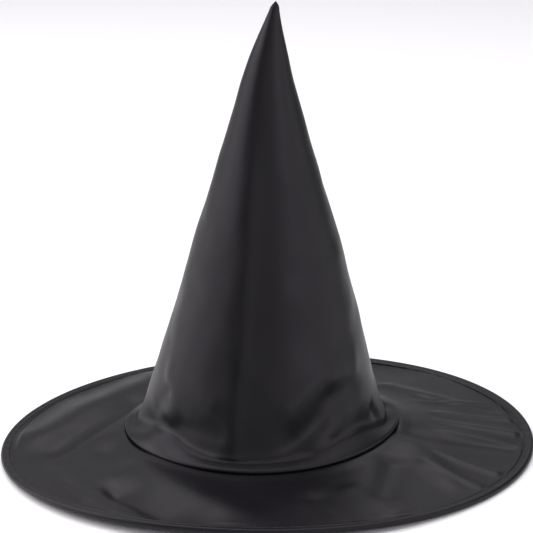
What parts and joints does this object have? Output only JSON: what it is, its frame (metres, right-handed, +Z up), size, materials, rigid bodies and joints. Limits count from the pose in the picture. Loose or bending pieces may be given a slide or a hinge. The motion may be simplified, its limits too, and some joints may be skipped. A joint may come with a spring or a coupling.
{
  "type": "witch hat",
  "caption": "Pointed black cloth costume hat with a wide wired brim, a rolled welt at the crown's foot and a point that bends over.",
  "frame": {"origin": "middle of the brim, on the plane that the brim's edge rests on", "axes": "+Z up along the crown, the front of the hat towards -Y, the crown's seam towards +Y, the wearer's left towards +X"},
  "size_m": [0.38, 0.38, 0.3225],
  "materials": {
    "taffeta": "satin",
    "interlining": "matte",
    "ribbon": "matte",
    "thread": "matte",
    "spring_steel": "brushed",
    "nylon": "matte",
    "label_satin": "satin"
  },
  "bodies": {
    "hat": {"crown_cloth": "taffeta", "crown_interlining": "interlining", "crown_seam": "taffeta", "foot_hoop": "nylon", "foot_hoop_sleeve": "spring_steel", "foot_thread": "thread", "brim_top_cloth": "taffeta", "brim_interlining": "interlining", "brim_under_cloth": "taffeta", "edge_binding": "taffeta", "edge_hoop": "spring_steel", "edge_hoop_sleeve": "spring_steel", "binding_thread": "thread", "sweatband": "ribbon", "sweatband_thread": "thread", "care_label": "label_satin", "bend_cloth": "taffeta", "bend_interlining": "interlining", "bend_seam": "taffeta"},
    "crown_tip": {"tip_cloth": "taffeta", "tip_interlining": "interlining", "tip_seam": "taffeta", "tip_tack": "thread"}
  },
  "joints": [
    {"name": "tip_flop", "type": "hinge", "parent": "hat", "child": "crown_tip", "pos_m": [0.0054, 0, 0.255], "axis": [0, 1, 0], "range_deg": [-75, 75], "deforming": ["bend_cloth", "bend_interlining", "bend_seam"]}
  ]
}
